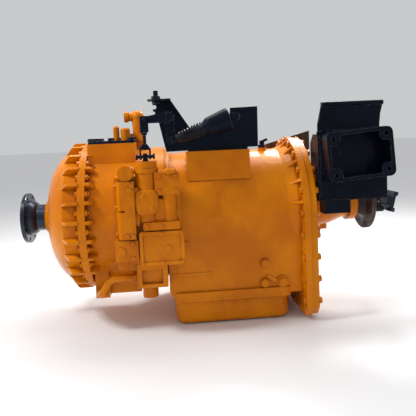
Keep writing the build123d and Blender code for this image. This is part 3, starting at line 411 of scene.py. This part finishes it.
# ---------------------------------------------------------------- rubber boot of the actuator
def boot():
    """Bellows from the actuator's collar to a tight neck on the rod."""
    hinge = Vector(JOINTS["actuator_swing"]["pos_m"])
    way = Vector(JOINTS["rod_slide"]["axis"]).normalized()
    side, up = cross_axes(way)
    reach = [(v.co - hinge).dot(way) for v in NODES["actuator_boot"].data.vertices]
    start, end = min(reach), max(reach)
    length = end - start
    big, small, neck, bore = 0.0255, 0.0185, 0.0125, 0.0084
    fold_depth, wall, dent_depth, dents_per_metre = 0.0036, 0.0016, 0.018, 60
    folds, per_fold, around = 8, 10, 72
    collar, cuff = 0.07, 0.10  # shares of the boot's length
    profile = [(0.0, 0.0232), (0.25 * collar, 0.0236), (collar, 0.0226)]
    for i in range(folds * per_fold + 1):
        share = i / (folds * per_fold)
        crest = big + (small - big) * share
        wave = 0.5 - 0.5 * cos(tau * folds * share)
        trough = crest - fold_depth
        profile.append((collar + (1 - collar - cuff) * share, trough + (crest - trough) * wave ** 0.75))
    lip = neck + 0.0010
    profile += [(1 - 0.85 * cuff, neck + 0.0004), (1 - 0.6 * cuff, lip), (1 - 0.1 * cuff, lip), (1.0, neck)]
    inner = [(share, max(radius - wall, bore)) for share, radius in reversed(profile)]
    rings = []
    for share, radius in profile + inner:
        middle = hinge + way * (start + length * share)
        ring = []
        for k in range(around):
            out = side * cos(tau * k / around) + up * sin(tau * k / around)
            dent = 1.0 + dent_depth * noise.noise((middle + out * radius) * dents_per_metre)
            ring.append(middle + out * radius * dent)
        rings.append(ring)
    count = len(rings)
    points = [p for ring in rings for p in ring]
    faces = []
    for i in range(count):
        here, following = i * around, (i + 1) % count * around
        for k in range(around):
            after = (k + 1) % around
            faces.append((here + k, here + after, following + after, following + k))
    made = piece("boot_bellows", points, faces, MATERIALS["rubber"], None)
    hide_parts("actuator_boot")
    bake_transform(made)


boot()


# ---------------------------------------------------------------- welds and threads
def box_corners(y):
    """Corners of the mounting box's outline at one depth, from the places of its four holes."""
    holes = [Vector(MOUNTS[f"box_hole_{i}"]["pos_m"]) for i in (1, 2, 3, 4)]
    middle = sum(holes, Vector()) / 4
    right = (holes[1] - holes[0]).normalized()
    up = (holes[0] - holes[3]).normalized()
    low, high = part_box("mount_box")
    side_inset, top_inset = 0.0035, 0.0075
    half_w = (high.x - low.x) / 2 - side_inset
    half_h = (high.z - low.z) / 2 - top_inset
    signs = ((-1, 1), (1, 1), (1, -1), (-1, -1))
    corners = [middle + right * (sx * half_w) + up * (sz * half_h) for sx, sz in signs]
    return [Vector((c.x, y, c.z)) for c in corners]


def welds():
    """Fillet welds where the bracket's plates and the mounting box are joined."""
    box_bead, bracket_bead, guard_bead, inset = 0.0042, 0.0038, 0.0036, 0.024
    low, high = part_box("mount_box")
    corners = box_corners(high.y - 0.002)
    for i in range(4):
        first, last = corners[i], corners[(i + 1) % 4]
        way = (last - first).normalized()
        route = [first + way * inset, last - way * inset]
        bead(f"box_weld_{i + 1}", route, box_bead, "case", RUSTY_BLACK)
    plate_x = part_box("mount_bracket")[0].x + 0.008
    plate_y = high.y - 0.001
    upright = [Vector((plate_x, plate_y, low.z - 0.05)), Vector((plate_x, plate_y, high.z - 0.02))]
    bead("bracket_weld", upright, bracket_bead, "case", RUSTY_BLACK)
    guard_low, guard_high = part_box("guard_sheet")
    foot_y, foot_z = guard_low.y + 0.004, guard_low.z + 0.001
    foot = [Vector((guard_low.x + 0.012, foot_y, foot_z)), Vector((guard_high.x - 0.022, foot_y, foot_z))]
    bead("guard_weld", foot, guard_bead, "case", MATERIALS["black_paint"])


def threads():
    """Screw threads that can be seen: the bracket's stud and the shift link's rod."""
    finish = MATERIALS["black_bolts"]
    stud_pitch, stud_depth = 0.0018, 0.0007
    stud = MOUNTS["bracket_stud"]
    place = Vector(stud["pos_m"])
    length = stud["dims"]["length_mm"] / 1000
    radius = stud["dims"]["r_mm"] / 1000 - stud_depth
    stud_end = Vector((place.x, place.y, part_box("outer_fittings")[1].z))
    stud_root = stud_end - Vector((0, 0, length))
    thread("stud_thread", stud_root, stud_end, radius, stud_pitch, "case", finish)
    link_radius, link_pitch, link_low, link_high = 0.0046, 0.0015, 0.050, 0.076
    low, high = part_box("control_link")
    spool_low, spool_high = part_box("selector_spool")
    link_foot = Vector(((spool_low.x + spool_high.x) / 2, (low.y + high.y) / 2, low.z))
    first, last = link_foot + Vector((0, 0, link_low)), link_foot + Vector((0, 0, link_high))
    thread("link_thread", first, last, link_radius, link_pitch, "link", finish)


# ---------------------------------------------------------------- cast lumps of the control valve
def casting(name, middle, half, squareness, body, material):
    """A rounded, slightly lumpy boss as a sand casting has, between an ellipsoid and a box in shape."""
    around, along = 40, 24
    lump_height, lumps_per_metre = 0.0016, 55
    rings = []
    for i in range(1, along):
        tilt = pi * i / along
        ring = []
        for k in range(around):
            turn = tau * k / around
            way = Vector((sin(tilt) * cos(turn), cos(tilt), sin(tilt) * sin(turn)))
            reach = sum(abs(c) ** squareness for c in way) ** (-1.0 / squareness)
            point = middle + Vector([w * reach * h for w, h in zip(way, half)])
            ring.append(point + way * lump_height * noise.noise(point * lumps_per_metre))
        rings.append(ring)
    points, faces = swept(rings)
    return piece(name, points, faces, material, body)


def valve_castings():
    """Bosses and webs that join the bores of the valve housing: places as shares of its box."""
    low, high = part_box("valve_housing")
    size = high - low
    sunk, half_y = 0.006, 0.013
    lumps = (
        ("web_1", 0.50, 0.610, 0.075, 0.037, 0.041, 4.0),
        ("web_2", 0.69, 0.520, 0.170, 0.018, 0.040, 4.0),
        ("web_3", 0.34, 0.570, 0.170, 0.013, 0.062, 4.0),
        ("boss_1", 0.44, 0.675, 0.030, 0.013, 0.014, 2.2),
        ("boss_2", 0.58, 0.545, 0.030, 0.012, 0.017, 2.4),
        ("boss_3", 0.86, 0.900, 0.020, 0.020, 0.010, 2.6),
    )
    paint = MATERIALS["yellow_paint"]
    for name, across, up, back, half_x, half_z, squareness in lumps:
        middle = Vector((low.x + across * size.x, low.y + back * size.y + sunk, low.z + up * size.z))
        half = (half_x, half_y, half_z)
        casting(f"valve_{name}", middle, half, squareness, "case", paint)


welds()
threads()
valve_castings()


# ---------------------------------------------------------------- floor, light and camera
def floor():
    """A plain pale floor under the oil pan."""
    reach, segments, gap = 30.0, 64, 0.0005
    z = CAD_LOW.z - gap
    turns = [tau * k / segments for k in range(segments)]
    mesh = bpy.data.meshes.new("floor")
    mesh.from_pydata([(reach * cos(t), reach * sin(t), z) for t in turns], [], [tuple(range(segments))])
    look = Look("pale_floor")
    tone = look.mix(look.noise(1.2, 2.0), (0.86, 0.86, 0.86), (0.82, 0.82, 0.82))
    mesh.materials.append(look.finish(tone, 0.75))
    made = bpy.data.objects.new("floor", mesh)
    bpy.context.scene.collection.objects.link(made)


def softbox(name, place, target, width, height, power):
    """A rectangular studio light aimed at a point."""
    light = bpy.data.lights.new(name, "AREA")
    light.shape = "RECTANGLE"
    light.size, light.size_y = width, height
    light.energy = power
    made = bpy.data.objects.new(name, light)
    made.location = place
    made.rotation_mode = "QUATERNION"
    made.rotation_quaternion = (target - place).to_track_quat("-Z", "Y")
    bpy.context.scene.collection.objects.link(made)


def studio():
    """Soft light: a long box overhead, a small key from the left, a glare from behind, and a pale room."""
    middle = (CAD_LOW + CAD_HIGH) / 2
    softbox("overhead", middle + Vector((0.1, 0.5, 1.7)), middle, 2.2, 0.7, 24)
    softbox("key_left", middle + Vector((-1.5, -0.5, 1.4)), middle, 0.35, 0.35, 26)
    softbox("glare_behind", middle + Vector((0.7, 1.2, 1.4)), middle, 0.5, 0.4, 34)
    world = bpy.data.worlds.new("studio")
    world.use_nodes = True
    world.node_tree.nodes["Background"].inputs["Color"].default_value = (0.97, 0.98, 1.0, 1.0)
    world.node_tree.nodes["Background"].inputs["Strength"].default_value = 0.60
    bpy.context.scene.world = world
    bpy.context.scene.view_settings.view_transform = "Standard"
    bpy.context.scene.view_settings.exposure = 0.0


def camera():
    """The camera, level with the shaft on the control valve's side."""
    place = Vector((0.5259, -1.7850, 0.2690))
    turn, dip, roll = radians(4.471), radians(4.293), radians(2.546)
    ahead = Vector((sin(turn) * cos(dip), cos(turn) * cos(dip), -sin(dip)))
    level = Vector((cos(turn), -sin(turn), 0))
    upright = level.cross(ahead)
    right = level * cos(roll) - upright * sin(roll)
    up = level * sin(roll) + upright * cos(roll)
    lens = bpy.data.cameras.new("camera")
    lens.lens = 41.73
    lens.sensor_width = 36.0
    lens.shift_y = -0.0865
    made = bpy.data.objects.new("camera", lens)
    made.matrix_world = Matrix((
        (right.x, up.x, -ahead.x, place.x),
        (right.y, up.y, -ahead.y, place.y),
        (right.z, up.z, -ahead.z, place.z),
        (0, 0, 0, 1),
    ))
    bpy.context.scene.collection.objects.link(made)
    bpy.context.scene.camera = made


floor()
studio()
camera()
